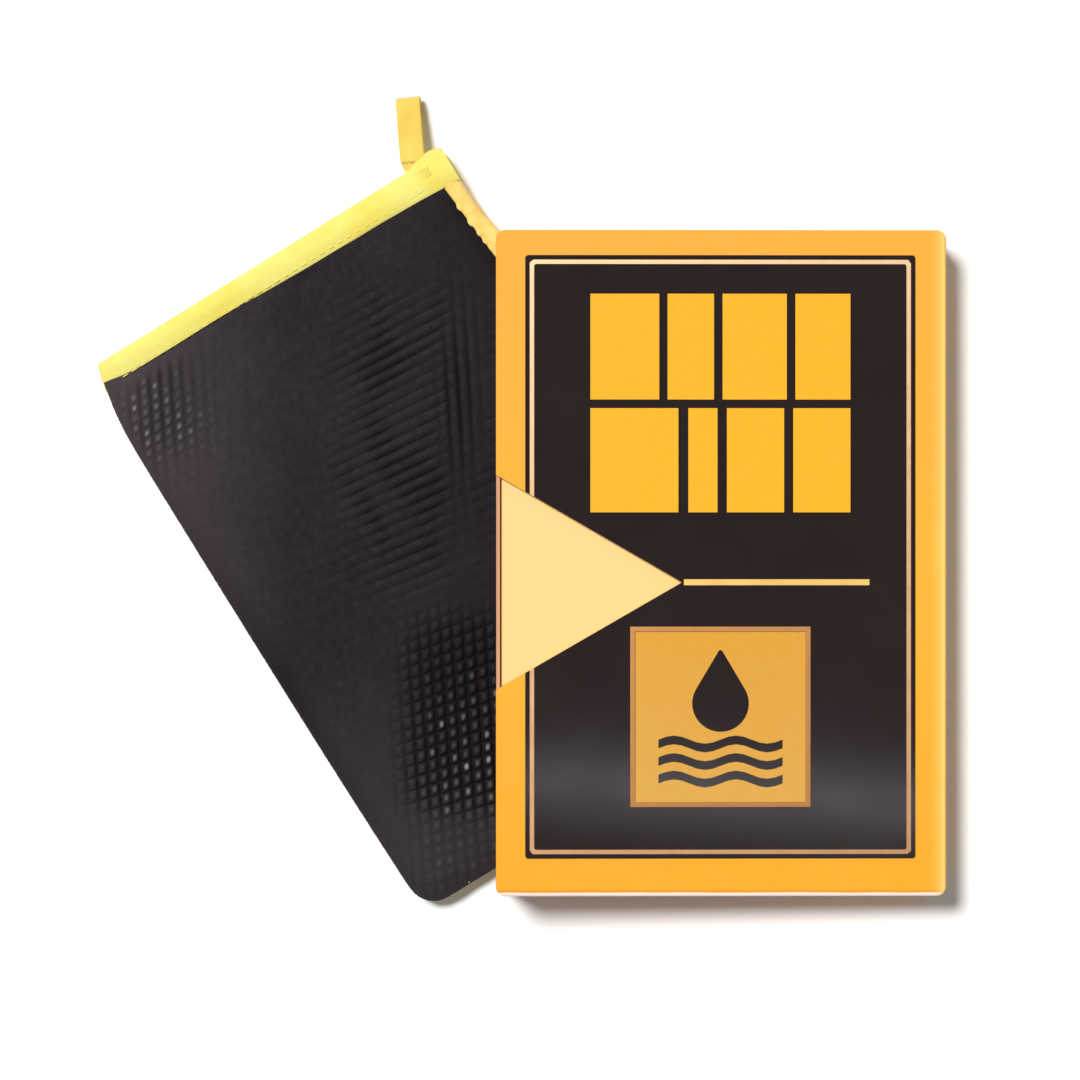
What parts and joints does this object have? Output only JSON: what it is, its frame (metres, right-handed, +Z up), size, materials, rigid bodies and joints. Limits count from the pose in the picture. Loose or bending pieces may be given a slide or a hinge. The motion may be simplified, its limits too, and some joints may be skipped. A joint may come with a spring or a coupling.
{
  "type": "clay mitt with carton",
  "caption": "Hand mitt with an embossed clay rubber face and plush back, hanging by a cuff loop, beside its slide-out presentation carton.",
  "frame": {"origin": "Bottom centre of the box around the whole set, on the surface that it lies on.", "axes": "+Z up from that surface, +Y towards the top of the carton's front, +X towards the carton's closed spine."},
  "size_m": [0.3203, 0.3071, 0.044],
  "materials": {
    "printed_wrap": "satin laminated paper, orange yellow",
    "greyboard": "raw greyboard",
    "black_print": "semi-gloss black print",
    "amber_print": "semi-gloss amber print",
    "gold_foil": "hot-stamped gold foil",
    "drawer_board": "tan lined board",
    "cream_card": "pale yellow matt card",
    "clay_rubber": "black clay rubber with an embossed grid",
    "backing_foam": "soft dark foam",
    "lining": "thin knitted lining",
    "plush": "yellow microfibre plush",
    "binding_tape": "yellow woven tape",
    "elastic": "white braided elastic",
    "thread": "yellow sewing thread",
    "loop_strap": "yellow woven strap"
  },
  "bodies": {
    "sleeve": {"sleeve_wrap": "printed_wrap", "sleeve_back_sheet": "printed_wrap", "sleeve_front_board": "greyboard", "sleeve_back_board": "greyboard", "sleeve_top_wall": "greyboard", "sleeve_bottom_wall": "greyboard", "sleeve_spine": "greyboard", "front_print": "black_print", "foil_frame": "gold_foil", "foil_rule": "gold_foil", "title_blocks": "amber_print", "badge_plate": "amber_print", "badge_frame": "gold_foil", "badge_icon": "black_print"},
    "drawer": {"drawer_floor": "drawer_board", "drawer_outer_end": "drawer_board", "drawer_inner_end": "drawer_board", "drawer_top_side": "drawer_board", "drawer_bottom_side": "drawer_board", "insert_card": "cream_card"},
    "mitt": {"clay_face": "clay_rubber", "face_foam": "backing_foam", "pocket_lining_front": "lining", "pocket_lining_back": "lining", "plush_back": "plush", "plush_rim_left": "plush", "plush_rim_right": "plush", "plush_rim_finger": "plush", "cuff_binding_front": "binding_tape", "cuff_binding_back": "binding_tape", "cuff_side_seams": "binding_tape", "cuff_elastic": "elastic", "cuff_stitching": "thread", "loop_tail": "loop_strap", "loop_bartack": "thread"},
    "loop": {"hang_loop": "loop_strap"}
  },
  "joints": [
    {"name": "drawer_slide", "type": "slide", "parent": "sleeve", "child": "drawer", "axis": [-0.9969, 0, 0.0785], "range_m": [0, 0.15]},
    {"name": "mitt_slide", "type": "slide", "parent": "sleeve", "child": "mitt", "axis": [-1, 0, 0], "range_m": [0, 0.115]},
    {"name": "loop_swing", "type": "hinge", "parent": "mitt", "child": "loop", "pos_m": [-0.04023, 0.12805, 0.01485], "axis": [0.9945, 0.1045, 0], "range_deg": [0, 100]}
  ]
}
